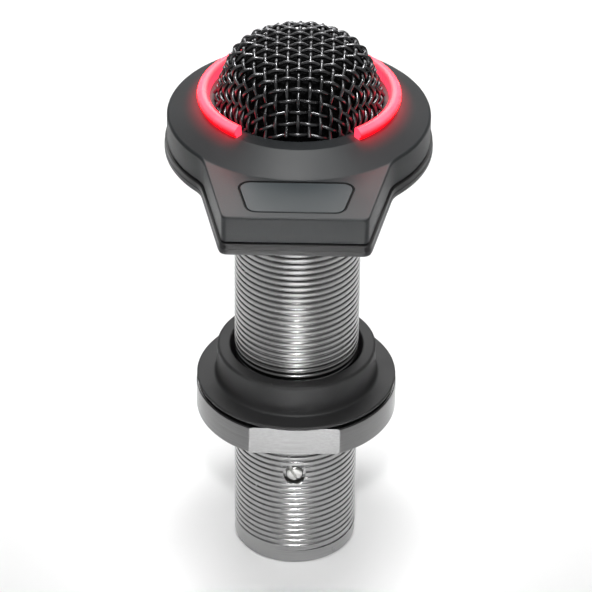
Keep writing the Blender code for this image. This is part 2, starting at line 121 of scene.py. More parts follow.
class Graph:
    """A short way to write one material's nodes."""

    def __init__(self, name):
        self.material = bpy.data.materials.new(name)
        self.material.use_nodes = True
        self.tree = self.material.node_tree
        self.shader = self.tree.nodes["Principled BSDF"]

    def node(self, kind, **values):
        made = self.tree.nodes.new(kind)
        for key, value in values.items():
            if hasattr(made, key):
                setattr(made, key, value)
            else:
                made.inputs[key.replace("_", " ")].default_value = value
        return made

    def link(self, start, end):
        self.tree.links.new(start, end)

    def set(self, **values):
        for key, value in values.items():
            socket = self.shader.inputs[key.replace("_", " ")]
            socket.default_value = (*value, 1.0) if isinstance(value, tuple) else value

    def place(self):
        return self.node("ShaderNodeTexCoord").outputs["Object"]

    def noise(self, vector, scale, detail=3.0, roughness=0.55):
        made = self.node("ShaderNodeTexNoise")
        made.inputs["Scale"].default_value = scale
        made.inputs["Detail"].default_value = detail
        made.inputs["Roughness"].default_value = roughness
        self.link(vector, made.inputs["Vector"])
        return made.outputs["Fac"]

    def span(self, value, low, high, start=0.3, stop=0.7):
        made = self.node("ShaderNodeMapRange")
        limits = (("From Min", start), ("From Max", stop), ("To Min", low), ("To Max", high))
        for key, number in limits:
            made.inputs[key].default_value = number
        self.link(value, made.inputs["Value"])
        return made.outputs["Result"]

    def mix(self, factor, first, second):
        made = self.node("ShaderNodeMix", data_type="RGBA")
        self.link(factor, made.inputs[0])
        for socket, value in ((made.inputs[6], first), (made.inputs[7], second)):
            if isinstance(value, tuple):
                socket.default_value = (*value, 1.0)
            else:
                self.link(value, socket)
        return made.outputs[2]

    def math(self, operation, first, second=None):
        made = self.node("ShaderNodeMath", operation=operation)
        for socket, value in zip(made.inputs, (first, second)):
            if isinstance(value, (int, float)):
                socket.default_value = value
            elif value is not None:
                self.link(value, socket)
        return made.outputs[0]

    def bump(self, height, strength, distance):
        made = self.node("ShaderNodeBump")
        made.inputs["Strength"].default_value = strength
        made.inputs["Distance"].default_value = distance
        self.link(height, made.inputs["Height"])
        return made.outputs["Normal"]

    def split(self, vector):
        made = self.node("ShaderNodeSeparateXYZ")
        self.link(vector, made.inputs[0])
        return made.outputs

    def radius(self, x, y):
        squares = [self.math("MULTIPLY", side, side) for side in (x, y)]
        return self.math("SQRT", self.math("ADD", *squares))

    def round_the_axis(self, along, around):
        """Coordinates that run up the barrel and round it, for marks left by a lathe."""
        x, y, z = self.split(self.place())
        joined = self.node("ShaderNodeCombineXYZ")
        self.link(self.math("MULTIPLY", z, along), joined.inputs[0])
        self.link(self.math("MULTIPLY", self.radius(x, y), along), joined.inputs[1])
        self.link(self.math("MULTIPLY", self.math("ARCTAN2", y, x), around), joined.inputs[2])
        return joined.outputs[0]


def coated(name, dark, light, rough, grain, height, metallic=0.0, specular=0.5, patch=60.0,
           spill=False):
    """Paint, plastic or rubber: cloudy colour, uneven gloss and a fine grain; with spill, also a painted red
    glow beside the ring.
    """
    g = Graph(name)
    place = g.place()
    cloud = g.noise(place, patch, 4.0)
    speck = g.noise(place, grain, 2.0, 0.7)
    tone = g.mix(g.span(cloud, 0.0, 1.0), dark, light)
    g.link(g.mix(g.span(speck, 0.0, 0.35, 0.45, 0.75), tone, light), g.shader.inputs["Base Color"])
    g.link(g.span(cloud, rough[0], rough[1]), g.shader.inputs["Roughness"])
    g.link(g.bump(speck, 0.6, height), g.shader.inputs["Normal"])
    g.set(Metallic=metallic, Specular_IOR_Level=specular)
    if spill:
        # painted red glow beside the ring, emitted by the paint itself
        painted_ring_glow(g)
    return g.material


def painted_ring_glow(g):
    """Painted glow: red emission on the paint beside the ring, standing in for the ring's light falling on
    it; it fades out in a few millimetres.
    """
    x, y, z = g.split(g.place())
    radius = g.radius(x, y)
    # Painted glow: emission strength falls off outside the ring, away from its open front and off the tongue
    near = g.span(radius, 1.0, 0.0, RING_OUT * MM, (RING_OUT + SPILL_REACH) * MM)
    inside = g.span(radius, 0.0, 1.0, (RING_IN - 0.8) * MM, RING_IN * MM)
    side = g.span(g.math("DIVIDE", g.math("MULTIPLY", y, -1.0), radius), 1.0, 0.0,
                  math.cos(math.radians(RING_GAP + 4)), math.cos(math.radians(RING_GAP - 5)))
    raised = g.span(z, 0.0, 1.0, 0.0078, 0.0086)
    amount = g.math("POWER", near, 2.2)
    for limit in (side, inside, raised):
        amount = g.math("MULTIPLY", amount, limit)
    g.set(Emission_Color=(1.0, 0.012, 0.04))
    g.link(g.math("MULTIPLY", amount, SPILL_STRENGTH), g.shader.inputs["Emission Strength"])


def turned_metal(name, dark, light, rough, marks=9000.0, height=0.000004):
    """Plated metal with the fine rings that a lathe leaves and faint cloudiness in the plate."""
    g = Graph(name)
    rings = g.noise(g.round_the_axis(marks, 1.5), 1.0, 4.0, 0.65)
    cloud = g.noise(g.place(), 140.0, 3.0)
    tone = g.mix(g.span(rings, 0.0, 1.0), dark, light)
    g.link(g.mix(g.span(cloud, 0.0, 0.3), tone, dark), g.shader.inputs["Base Color"])
    g.link(g.span(cloud, rough[0], rough[1]), g.shader.inputs["Roughness"])
    g.link(g.bump(rings, 0.5, height), g.shader.inputs["Normal"])
    g.set(Metallic=1.0)
    return g.material


def foam_material():
    """Black foam: dark cells with slightly lighter walls, the darker cell middles being painted shade in the
    pores.
    """
    g = Graph("open_cell_foam")
    place = g.place()
    cells = g.node("ShaderNodeTexVoronoi")
    cells.inputs["Scale"].default_value = 1700.0
    g.link(place, cells.inputs["Vector"])
    fine = g.noise(place, 2600.0, 3.0)
    # Painted shade: the middles of the cells are darkened as if shaded in the pores
    depth = g.math("MULTIPLY", cells.outputs["Distance"], fine)
    g.link(g.mix(g.span(depth, 0.0, 1.0, 0.05, 0.5), (0.002, 0.002, 0.002), (0.014, 0.014, 0.015)),
           g.shader.inputs["Base Color"])
    g.link(g.bump(depth, 1.0, 0.0003), g.shader.inputs["Normal"])
    g.set(Roughness=1.0, Specular_IOR_Level=0.1)
    return g.material


def board_material():
    """Green solder mask over faint tracks."""
    g = Graph("solder_mask")
    place = g.place()
    weave = g.node("ShaderNodeTexBrick")
    weave.inputs["Scale"].default_value = 420.0
    weave.inputs["Mortar Size"].default_value = 0.06
    g.link(place, weave.inputs["Vector"])
    tracks = g.span(weave.outputs["Fac"], 0.0, 1.0, 0.2, 0.8)
    cloud = g.noise(place, 90.0)
    base = g.mix(g.span(cloud, 0.0, 1.0), (0.008, 0.07, 0.03), (0.015, 0.11, 0.05))
    g.link(g.mix(tracks, base, (0.03, 0.19, 0.09)), g.shader.inputs["Base Color"])
    g.link(g.span(cloud, 0.28, 0.42), g.shader.inputs["Roughness"])
    g.link(g.bump(weave.outputs["Fac"], 0.4, 0.00003), g.shader.inputs["Normal"])
    return g.material


def glow_material():
    """Lit light guide: pale pink where it faces up, deep red down its sides, brighter down its outer side."""
    g = Graph("lit_guide")
    normal = g.node("ShaderNodeNewGeometry").outputs["Normal"]
    place = g.place()
    up = g.span(g.split(normal)[2], 0.0, 1.0, 0.1, 0.8)
    rise = g.span(g.split(place)[2], 0.0, 1.0, 0.0106, 0.0122)
    cloud = g.noise(place, 220.0, 2.0)
    side = g.mix(rise, (0.2, 0.0004, 0.001), (0.6, 0.001, 0.003))
    top = g.mix(g.span(cloud, 0.0, 1.0), (0.7, 0.009, 0.016), (0.8, 0.015, 0.024))
    level = g.node("ShaderNodeVectorMath", operation="MULTIPLY")
    g.link(place, level.inputs[0])
    level.inputs[1].default_value = (1, 1, 0)
    flat = g.node("ShaderNodeVectorMath", operation="NORMALIZE")
    g.link(level.outputs[0], flat.inputs[0])
    outward = g.node("ShaderNodeVectorMath", operation="DOT_PRODUCT")
    g.link(flat.outputs[0], outward.inputs[0])
    g.link(normal, outward.inputs[1])
    outer = g.span(outward.outputs["Value"], 0.0, 1.0, -0.3, 0.5)
    glow = g.mix(up, g.mix(outer, (0.3, 0.022, 0.042), side), top)
    g.link(glow, g.shader.inputs["Emission Color"])
    g.link(g.mix(up, (0.6, 0.01, 0.02), (0.8, 0.12, 0.16)), g.shader.inputs["Base Color"])
    g.link(g.span(cloud, 0.22, 0.34), g.shader.inputs["Roughness"])
    g.link(g.math("ADD", g.math("MULTIPLY", outer, 7.5), 3.5), g.shader.inputs["Emission Strength"])
    g.set(Specular_IOR_Level=0.4)
    return g.material


def window_material():
    """Smoke-grey window, a little lighter to the rear as a painted reflection, with a very fine grain."""
    g = Graph("smoked_window")
    place = g.place()
    cloud = g.noise(place, 70.0, 2.0)
    # Painted reflection: the tint lightens toward the rear of the window
    depth = g.span(g.split(place)[1], 1.0, 0.0, -0.0346, -0.0250)
    tone = g.mix(depth, (0.066, 0.078, 0.084), (0.045, 0.052, 0.055))
    g.link(g.mix(g.span(cloud, 0.0, 0.15), tone, (0.06, 0.075, 0.08)), g.shader.inputs["Base Color"])
    g.link(g.span(cloud, 0.36, 0.44), g.shader.inputs["Roughness"])
    g.link(g.bump(g.noise(place, 5200.0, 2.0), 0.15, 0.00001), g.shader.inputs["Normal"])
    g.set(Specular_IOR_Level=0.3)
    return g.material


MATERIALS = {
    # The housing paint also carries the painted red glow beside the ring (spill=True).
    "paint": coated("fine_texture_paint", (0.019, 0.0215, 0.023), (0.03, 0.0335, 0.036), (0.42, 0.5),
                    5200.0, 0.00004, spill=True),
    "plate": coated("satin_black_paint", (0.012, 0.012, 0.0125), (0.02, 0.02, 0.021), (0.34, 0.46),
                    3800.0, 0.00001),
    "rubber": coated("moulded_rubber", (0.024, 0.024, 0.0245), (0.04, 0.04, 0.041), (0.48, 0.6),
                     2600.0, 0.00002, specular=0.4),
    "soft": coated("soft_rubber", (0.004, 0.004, 0.004), (0.01, 0.01, 0.01), (0.65, 0.8),
                   2400.0, 0.00002, specular=0.3),
    "moulding": coated("black_moulding", (0.01, 0.01, 0.011), (0.02, 0.02, 0.022), (0.35, 0.5),
                       3000.0, 0.00002),
    "chip": coated("chip_epoxy", (0.008, 0.008, 0.009), (0.02, 0.02, 0.02), (0.5, 0.65), 4200.0, 0.00002),
    "lead": coated("lead_sleeve", (0.25, 0.012, 0.012), (0.4, 0.03, 0.03), (0.35, 0.5), 2600.0, 0.00001),
    "wire": coated("black_plated_wire", (0.13, 0.13, 0.135), (0.22, 0.22, 0.225), (0.24, 0.34),
                   2400.0, 0.000004, metallic=1.0, specular=1.0, patch=240.0),
    "barrel": turned_metal("satin_nickel", (0.34, 0.34, 0.34), (0.42, 0.42, 0.42), (0.2, 0.28),
                           marks=3500.0, height=0.000001),
    "nut": turned_metal("nut_nickel", (0.19, 0.19, 0.19), (0.24, 0.24, 0.24), (0.2, 0.26),
                        marks=3500.0, height=0.000001),
    "steel": turned_metal("bright_steel", (0.5, 0.5, 0.49), (0.68, 0.68, 0.66), (0.12, 0.24), marks=16000.0),
    "pin": turned_metal("pin_plate", (0.55, 0.52, 0.45), (0.72, 0.69, 0.6), (0.15, 0.28), marks=12000.0),
    "can": turned_metal("drawn_aluminium", (0.55, 0.55, 0.54), (0.7, 0.7, 0.69), (0.25, 0.4)),
    "foam": foam_material(),
    "board": board_material(),
    "glow": glow_material(),
    "window": window_material(),
}


# ---------------------------------------------------------------- mesh helpers

def piece(name, points, faces, material, body, node=None, slot=None, sharp=30.0):
    """A mesh from millimetre points that rides on a body and stands for a CAD node."""
    mesh = bpy.data.meshes.new(name)
    mesh.from_pydata([tuple(float(c) * MM for c in p) for p in points], [], faces)
    work = bmesh.new()
    work.from_mesh(mesh)
    bmesh.ops.remove_doubles(work, verts=work.verts, dist=1e-7)
    bmesh.ops.recalc_face_normals(work, faces=work.faces)
    work.to_mesh(mesh)
    work.free()
    mesh.materials.append(MATERIALS[material])
    mesh.shade_smooth()
    mesh.set_sharp_from_angle(angle=math.radians(sharp))
    item = bpy.data.objects.new(name, mesh)
    bpy.context.scene.collection.objects.link(item)
    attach(item, body)
    if node:
        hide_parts(node)
    return item


def shade_evenly(item):
    """Keeps flat faces flat in shading, beside the fine roundings of their edges."""
    step = item.modifiers.new("even_shading", "WEIGHTED_NORMAL")
    step.keep_sharp, step.weight = True, 100


def cut_with(item, tools, name):
    """Cuts tools, as (points, faces) in millimetres, out of a piece's mesh."""
    tool_mesh = bpy.data.meshes.new(name)
    points, faces = [], []
    for p, f in tools:
        faces += [tuple(i + len(points) for i in face) for face in f]
        points += p
    tool_mesh.from_pydata([tuple(c * MM for c in p) for p in points], [], faces)
    work = bmesh.new()
    work.from_mesh(tool_mesh)
    bmesh.ops.recalc_face_normals(work, faces=work.faces)
    work.to_mesh(tool_mesh)
    work.free()
    tool = bpy.data.objects.new(name, tool_mesh)
    bpy.context.scene.collection.objects.link(tool)
    step = item.modifiers.new("cut", "BOOLEAN")
    step.operation, step.solver, step.object = "DIFFERENCE", "EXACT", tool
    bpy.context.view_layer.update()
    baked = bpy.data.meshes.new_from_object(item.evaluated_get(bpy.context.evaluated_depsgraph_get()))
    item.modifiers.clear()
    item.data = baked
    bpy.data.objects.remove(tool, do_unlink=True)
    baked.shade_smooth()
    baked.set_sharp_from_angle(angle=math.radians(30))
    shade_evenly(item)


def band(n, i, j, base=0):
    """Quads that join ring i to ring j, where each ring has n points."""
    first, second = base + i * n, base + j * n
    return [(first + k, first + (k + 1) % n, second + (k + 1) % n, second + k) for k in range(n)]


def turned(profile, sides, centre=(0.0, 0.0), phase=0.0):
    """A profile of (radius, height) turned round a vertical axis.

    It is closed on itself, or capped at both ends if it starts on the axis.
    """
    capped = profile[0][0] == 0
    rings = profile[1:-1] if capped else profile
    points, faces = [], []
    for radius, height in rings:
        for k in range(sides):
            a = 2 * math.pi * (k + phase) / sides
            points.append((centre[0] + radius * math.sin(a), centre[1] - radius * math.cos(a), height))
    count = len(rings)
    for i in range(count - 1 if capped else count):
        faces += band(sides, i, (i + 1) % count)
    if capped:
        faces.append(tuple(range(sides)))
        faces.append(tuple(range((count - 1) * sides, count * sides))[::-1])
    return points, faces


def rounded(corners, steps=5):
    """A profile from (radius, height, rounding) corners, each rounded by an arc of that size."""
    made = []
    n = len(corners)
    for i, (x, y, r) in enumerate(corners):
        here = Vector((x, y))
        if r <= 0 or (i in (0, n - 1) and corners[0][0] == 0):
            made.append((x, y))
            continue
        before, after = Vector(corners[i - 1][:2]), Vector(corners[(i + 1) % n][:2])
        a, b = (before - here), (after - here)
        reach = min(r, a.length * 0.49, b.length * 0.49)
        start, stop = here + a.normalized() * reach, here + b.normalized() * reach
        for k in range(steps + 1):
            t = k / steps
            p = start * (1 - t) ** 2 + here * (2 * t * (1 - t)) + stop * t * t
            made.append((p.x, p.y))
    return made


def lofted(rings):
    """A skin through rings of equal length, closed from the last ring to the first."""
    faces = []
    for i in range(len(rings)):
        faces += band(len(rings[0]), i, (i + 1) % len(rings))
    return [p for ring in rings for p in ring], faces


def prism(outline, low, high):
    """An outline raised from one height to another."""
    n = len(outline)
    points = [(x, y, low) for x, y in outline] + [(x, y, high) for x, y in outline]
    faces = [(k, (k + 1) % n, n + (k + 1) % n, n + k) for k in range(n)]
    return points, faces + [tuple(range(n))[::-1], tuple(range(n, 2 * n))]


def laid_along(points, direction, centre, roll=0.0):
    """Points made round +Z, turned to lie along a direction from a centre."""
    turn = Vector((0, 0, 1)).rotation_difference(Vector(direction)).to_matrix().to_4x4()
    move = Matrix.Translation(Vector(centre)) @ turn @ Matrix.Rotation(roll, 4, "Z")
    return [tuple(move @ Vector(p)) for p in points]


def arc(cx, cy, radius, start, stop, steps):
    turns = [math.radians(start + (stop - start) * i / steps) for i in range(steps + 1)]
    return [(cx + radius * math.cos(a), cy + radius * math.sin(a)) for a in turns]


# ---------------------------------------------------------------- the head's outline

def tongue_geometry(deep=FRONT_CORNER):
    """Centres of the tongue's root fillet and front corner, and the way its side faces."""
    lean = math.radians(SIDE_LEAN)
    along = Vector((math.sin(lean), math.cos(lean)))
    out = Vector((math.cos(lean), -math.sin(lean)))
    start = Vector((FRONT_HALF, FRONT_Y)) + ROOT_FILLET * out
    b, c = start.dot(along), start.length_squared - (HEAD_R + ROOT_FILLET) ** 2
    root = start + (-b - math.sqrt(b * b - c)) * along
    corner_y = FRONT_Y + deep
    corner_x = FRONT_HALF + (-deep + out.y * (FRONT_Y - corner_y)) / out.x
    return root, Vector((corner_x, corner_y)), out


def outline(offset):
    """The head seen from above, grown by an offset: tongue, root fillets and round."""
    corner_r = max(FRONT_CORNER + offset, 0.3)
    root, corner, out = tongue_geometry(corner_r - offset)
    side = math.degrees(math.atan2(out.y, out.x))
    toward = math.degrees(math.atan2(root.y, root.x))
    right = arc(corner.x, corner.y, corner_r, -90, side, 12)
    right += arc(root.x, root.y, ROOT_FILLET - offset, side + 180, toward + 180, 24)
    right += arc(0, 0, HEAD_R + offset, toward, 90, 240)[1:]
    return right + [(-x, y) for x, y in reversed(right[:-1])]


def polar_angles():
    """Directions shared by every ring of the head, closer together at the tongue's corners."""
    root, corner, out = tongue_geometry()
    marks = {round(1.5 * k, 4) for k in range(240)}
    for x, y in arc(corner.x, corner.y, FRONT_CORNER, -90, math.degrees(math.atan2(out.y, out.x)), 10):
        around = math.degrees(math.atan2(x, -y))
        marks |= {round(around, 4), round(360 - around, 4)}
    kept = []
    for mark in sorted(marks):
        if not kept or mark - kept[-1] > 0.12:
            kept.append(mark)
    return np.radians(kept)


ANGLES = polar_angles()


def reaches(offset):
    """How far the offset outline lies from the axis in each shared direction."""
    edge = np.array(outline(offset))
    far = np.roll(edge, -1, axis=0)
    found = []
    for a in ANGLES:
        d = np.array([math.sin(a), -math.cos(a)])
        ca = d[0] * edge[:, 1] - d[1] * edge[:, 0]
        cb = d[0] * far[:, 1] - d[1] * far[:, 0]
        with np.errstate(divide="ignore", invalid="ignore"):
            t = ca / (ca - cb)
            hit = edge + t[:, None] * (far - edge)
        r = hit @ d
        r[~((ca * cb <= 0) & (ca != cb))] = 0
        found.append(r.max())
    return np.array(found)


def ring_at(radii, heights):
    radii, heights = (np.broadcast_to(values, ANGLES.shape) for values in (radii, heights))
    return [(r * math.sin(a), -r * math.cos(a), z) for a, r, z in zip(ANGLES, radii, heights)]


def crown(radii):
    """Height of the head's upper face: the flat tongue, and the cone inside the head's circle."""
    slope = (CONE_TOP - TONGUE_TOP) / (HEAD_R - CONE_TOP_R)
    rise = (HEAD_R - np.asarray(radii, float)) * slope
    soft = 0.05
    return TONGUE_TOP + (rise + np.sqrt(rise * rise + soft * soft)) / 2


def pad_outline(offset):
    """The touch pad's round-cornered trapezium, grown by an offset."""
    lean = math.atan2(PAD_REAR_HALF - PAD_FRONT_HALF, PAD_REAR_Y - PAD_FRONT_Y)
    mid, mid_y = (PAD_REAR_HALF + PAD_FRONT_HALF) / 2, (PAD_REAR_Y + PAD_FRONT_Y) / 2

    def centre_x(y):
        return mid + math.tan(lean) * (y - mid_y) - PAD_CORNER / math.cos(lean)

    low, high, side = PAD_FRONT_Y + PAD_CORNER, PAD_REAR_Y - PAD_CORNER, -math.degrees(lean)
    right = arc(centre_x(low), low, PAD_CORNER + offset, -90, side, 10)
    right += arc(centre_x(high), high, PAD_CORNER + offset, side, 90, 10)
    return right + [(-x, y) for x, y in reversed(right)]


# ---------------------------------------------------------------- the head

def build_head():
    """Cast shell: rolled upper edge, flat tongue, low cone and the grille's hole, hollow below."""
    outer = reaches(0)
    edge = 0.42
    rings = [ring_at(outer - 0.12, PLATE_TOP + 0.2), ring_at(outer - 0.03, PLATE_TOP + 0.24),
             ring_at(outer, PLATE_TOP + 0.34)]
    for k in range(8):
        turn = math.pi / 2 * k / 7
        inset = edge * (1 - math.cos(turn))
        top = crown(outer - inset)
        rings.append(ring_at(outer - inset, top - edge * (1 - math.sin(turn))))
    limits = (25.2, 24.75, 24.5, 24.35, 24.2, 23.95, 23.4, 22.2, 20.8, 19.6, 18.75)
    for k, limit in enumerate(limits):
        radii = np.minimum(outer - edge - 0.03 * (k + 1), limit)
        rings.append(ring_at(radii, crown(radii)))
    rim_and_inside = (
        (18.5, 10.6), (18.4, 10.635), (18.28, CONE_TOP), (GRILLE_HOLE + 0.3, CONE_TOP),
        (GRILLE_HOLE + 0.08, 10.6), (GRILLE_HOLE, 10.45), (GRILLE_HOLE, 8.6), (18.6, 8.6),
        (22.2, 6.75), (22.2, 5.0))
    rings += [ring_at(radius, height) for radius, height in rim_and_inside]
    inner = reaches(-2.1)
    rings += [ring_at(inner, 5.0), ring_at(inner, PLATE_TOP + 0.2)]
    head = piece("head_shell", *lofted(rings), "paint", "microphone", "head_housing", "housing_paint")
    start, sweep = RING_GAP - 0.45, 360 - 2 * RING_GAP + 0.9
    turns = [math.radians(start + sweep * i / 161) for i in range(162)]
    slot = [((RING_OUT + 0.06) * math.sin(a), -(RING_OUT + 0.06) * math.cos(a)) for a in turns]
    slot += [((RING_IN - 0.06) * math.sin(a), -(RING_IN - 0.06) * math.cos(a)) for a in reversed(turns)]
    cut_with(head, [prism(slot, 8.0, 13.0), prism(pad_outline(0.4), 6.4, 9.0)], "head_cuts")


def build_plate():
    """Base plate, with a rolled lower edge and a fine step line half way up its side."""
    out = reaches(0.5)
    rings = []
    for k in range(8):
        turn = math.pi / 2 * k / 7
        rings.append(ring_at(out - 0.7 * (1 - math.sin(turn)), 0.7 * (1 - math.cos(turn))))
    step_and_lip = (
        (0, 1.28), (0.07, 1.33), (0.09, 1.4), (0.09, 2.2), (0.14, 2.32), (0.26, 2.38), (0.45, 2.4))
    rings += [ring_at(out - inset, height) for inset, height in step_and_lip]
    lip, inner = reaches(-2.4), reaches(-5.6)
    rings += [ring_at(lip, 2.4), ring_at(lip, 3.4), ring_at(inner, 3.4), ring_at(inner, 2.35)]
    rings += [ring_at(12.2, 2.35), ring_at(12.2, 0.15), ring_at(12.35, 0)]
    plate = piece("bottom_plate", *lofted(rings), "plate", "microphone", "base_plate", "base_paint")
    seats = []
    for i in (1, 2, 3):
        low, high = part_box(f"case_screw_{i}")
        x, y = (low.x + high.x) / 2 / MM, (low.y + high.y) / 2 / MM
        countersink = [(0, -1), (2.2, -1), (2.2, 0.45), (1.0, 1.65), (1.0, 5), (0, 5)]
        seats.append(turned(countersink, 48, (x, y), 0.37))
    cut_with(plate, seats, "plate_cuts")


def build_pad():
    """The smoked window: a flat plate with a fine polished edge, in its black seal."""
    rings = [[(x, y, z) for x, y in pad_outline(offset)] for offset, z in (
        (0, 6.5), (0, 7.6), (-0.03, 7.7), (-0.1, 7.765), (-0.2, 7.79))]
    n, last = len(rings[0]), len(rings) - 1
    points, faces = [p for ring in rings for p in ring], []
    for i in range(last):
        faces += band(n, i, i + 1)
    faces += [tuple(range(n))[::-1], tuple(range(last * n, last * n + n))]
    window = piece("touch_window", points, faces, "window", "microphone", "touch_pad", "touch_window", 20)
    shade_evenly(window)
    rings = [[(x, y, z) for x, y in pad_outline(offset)] for offset, z in (
        (0.04, 6.5), (0.38, 6.5), (0.38, 7.6), (0.3, 7.68), (0.12, 7.68), (0.04, 7.6))]
    piece("window_seal", *lofted(rings), "soft", "microphone", "pad_seal", "boot_rubber")


def build_light_ring():
    """The light guide: a low ridge swept round the dome, open at the front with square ends."""
    section = rounded([
        (RING_IN, 8.75, 0), (RING_OUT, 8.75, 0), (RING_OUT, 10.95, 0.2), (RING_OUT + 0.55, 11.35, 0.4),
        (RING_OUT + 0.35, 12.2, 0.7), (RING_OUT - 0.65, 12.78, 0.6), (RING_IN + 0.1, 12.5, 0.5)], 5)
    steps, n, points, faces = 240, len(section), [], []
    for i in range(steps + 1):
        a = math.radians(RING_GAP + (360 - 2 * RING_GAP) * i / steps)
        points += [(r * math.sin(a), -r * math.cos(a), z) for r, z in section]
    for i in range(steps):
        faces += band(n, i, i + 1)
    faces += [tuple(range(n)), tuple(range(steps * n, steps * n + n))[::-1]]
    ring = piece("glowing_ring", points, faces, "glow", "microphone", "light_ring", "light_guide")
    edge = ring.modifiers.new("soft_ends", "BEVEL")
    edge.width, edge.segments = 0.1 * MM, 2
    edge.limit_method, edge.angle_limit = "ANGLE", math.radians(60)


# ---------------------------------------------------------------- woven grille

# The dome from rim to apex, as radius and height
DOME = np.array((
    (15.25, 8.6), (15.2, 10.6), (14.75, 12.5), (14.05, 14.5), (13.4, 16.3), (12.9, 17.7), (12.05, 19.1),
    (10.5, 20.3), (8.3, 21.15), (5.6, 21.6), (3.0, 21.75), (0.0, 21.8)))


def smooth_profile():
    """The dome's profile from the apex down, as radius and height against arc length."""
    knots = DOME[::-1]
    mirrored = np.vstack([knots[:0:-1] * [-1, 1], knots])
    t = np.concatenate([[0], np.cumsum(np.hypot(*np.diff(mirrored, axis=0).T))])
    t -= t[len(knots) - 1]
    fine = np.linspace(t[0], t[-1], 1601)
    curve = np.array([np.interp(fine, t, mirrored[:, 0]), np.interp(fine, t, mirrored[:, 1])]).T
    kernel = np.hanning(121)
    kernel /= kernel.sum()
    for axis in (0, 1):
        padded = np.pad(curve[:, axis], 60, mode="reflect", reflect_type="odd")
        curve[:, axis] = np.convolve(padded, kernel, mode="valid")
    half = curve[800:]
    half[0, 0] = 0
    s = np.concatenate([[0], np.cumsum(np.hypot(*np.diff(half, axis=0).T))])
    return s, half[:, 0], half[:, 1]


ARC, RADIUS, HEIGHT = smooth_profile()


def dome_point(s, a):
    """The point on the dome at an arc length from the apex and a direction."""
    r = np.interp(s, ARC, RADIUS)
    return np.array([r * math.cos(a), r * math.sin(a), np.interp(s, ARC, HEIGHT)])


def woven_net(count):
    """Crossings of the two sets of wires in one quarter of the dome.

    Every cell keeps the wire's pitch on all four sides, as pressed wire cloth does.
    """
    net = {(0, 0): (0.0, 0.0)}
    for i in range(1, count + 1):
        net[i, 0], net[0, i] = (i * WIRE_PITCH, 0.0), (i * WIRE_PITCH, math.pi / 2)
    for total in range(2, 2 * count + 1):
        for i in range(1, total):
            j = total - i
            if i > count or j > count or (i - 1, j) not in net or (i, j - 1) not in net:
                continue
            (s1, a1), (s2, a2) = net[i, j - 1], net[i - 1, j]
            p1, p2 = dome_point(s1, a1), dome_point(s2, a2)
            s, a = (s1 + s2) / 2 + WIRE_PITCH * 0.5, (a1 + a2) / 2
            solved = True
            for _ in range(30):
                q = dome_point(s, a)
                f = np.array([np.linalg.norm(q - p1) - WIRE_PITCH, np.linalg.norm(q - p2) - WIRE_PITCH])
                if abs(f).max() < 1e-5:
                    break
                h = 1e-4
                cols = [(dome_point(s + h, a) - q) / h, (dome_point(s, a + h) - q) / h]
                ways = [(q - p) / max(np.linalg.norm(q - p), 1e-6) for p in (p1, p2)]
                jac = np.array([[way @ c for c in cols] for way in ways])
                try:
                    step = np.linalg.solve(jac, f)
                except np.linalg.LinAlgError:
                    solved = False
                    break
                s, a = s - np.clip(step[0], -1, 1), a - np.clip(step[1], -0.2, 0.2)
            if solved and abs(f).max() < 0.02 and s < ARC[-1] and 0 < a < math.pi / 2:
                net[i, j] = (s, a)
    return net


def wire_lines():
    """Each wire's centreline, weaving over and under, from rim to rim."""
    net = woven_net(WIRES_EACH_SIDE)
    places = range(-WIRES_EACH_SIDE, WIRES_EACH_SIDE + 1)

    def crossing(i, j):
        found = net.get((abs(i), abs(j)))
        if found is None:
            return None
        s, a = found
        p = dome_point(s, a)
        return np.array([p[0] * (1 if i >= 0 else -1), p[1] * (1 if j >= 0 else -1), p[2]])

    def normal(p):
        r = math.hypot(p[0], p[1])
        s = np.interp(-p[2], -HEIGHT, ARC)
        dr, dz = (np.interp(s + 0.2, ARC, x) - np.interp(s - 0.2, ARC, x) for x in (RADIUS, HEIGHT))
        size = math.hypot(dr, dz) or 1
        out, up = (-dz / size, dr / size) if r > 1e-6 else (0.0, 1.0)
        flat = np.array([p[0], p[1]]) / r if r > 1e-6 else np.zeros(2)
        return np.array([flat[0] * out, flat[1] * out, up])

    lines = []
    for along_x in (True, False):
        for j in places:
            run = []
            for i in places:
                p = crossing(i, j) if along_x else crossing(j, i)
                if p is not None:
                    run.append((i, p))
            if len(run) < 3:
                continue
            knots = []
            for i, p in run:
                side = 1 if (i + j) % 2 == 0 else -1
                side = side if along_x else -side
                knots.append(p + normal(p) * side * WIRE_R * 0.96)
            first, last = knots[0] * 2 - knots[1], knots[-1] * 2 - knots[-2]
            line = [first] + knots + [last]
            fine = []
            for k in range(len(line) - 1):
                a, b = line[k], line[k + 1]
                before = line[k - 1] if k else a * 2 - b
                after = line[k + 2] if k + 2 < len(line) else b * 2 - a
                for t in np.arange(0, 1, 1 / 7):
                    bend = 2 * before - 5 * a + 4 * b - after
                    twist = 3 * a - before - 3 * b + after
                    fine.append(0.5 * (2 * a + (b - before) * t + bend * t ** 2 + twist * t ** 3))
            fine.append(line[-1])
            keep = [p for p in fine if p[2] > 9.4 and math.hypot(p[0], p[1]) < 15.6]
            if len(keep) > 6:
                lines.append(np.array(keep))
    return lines


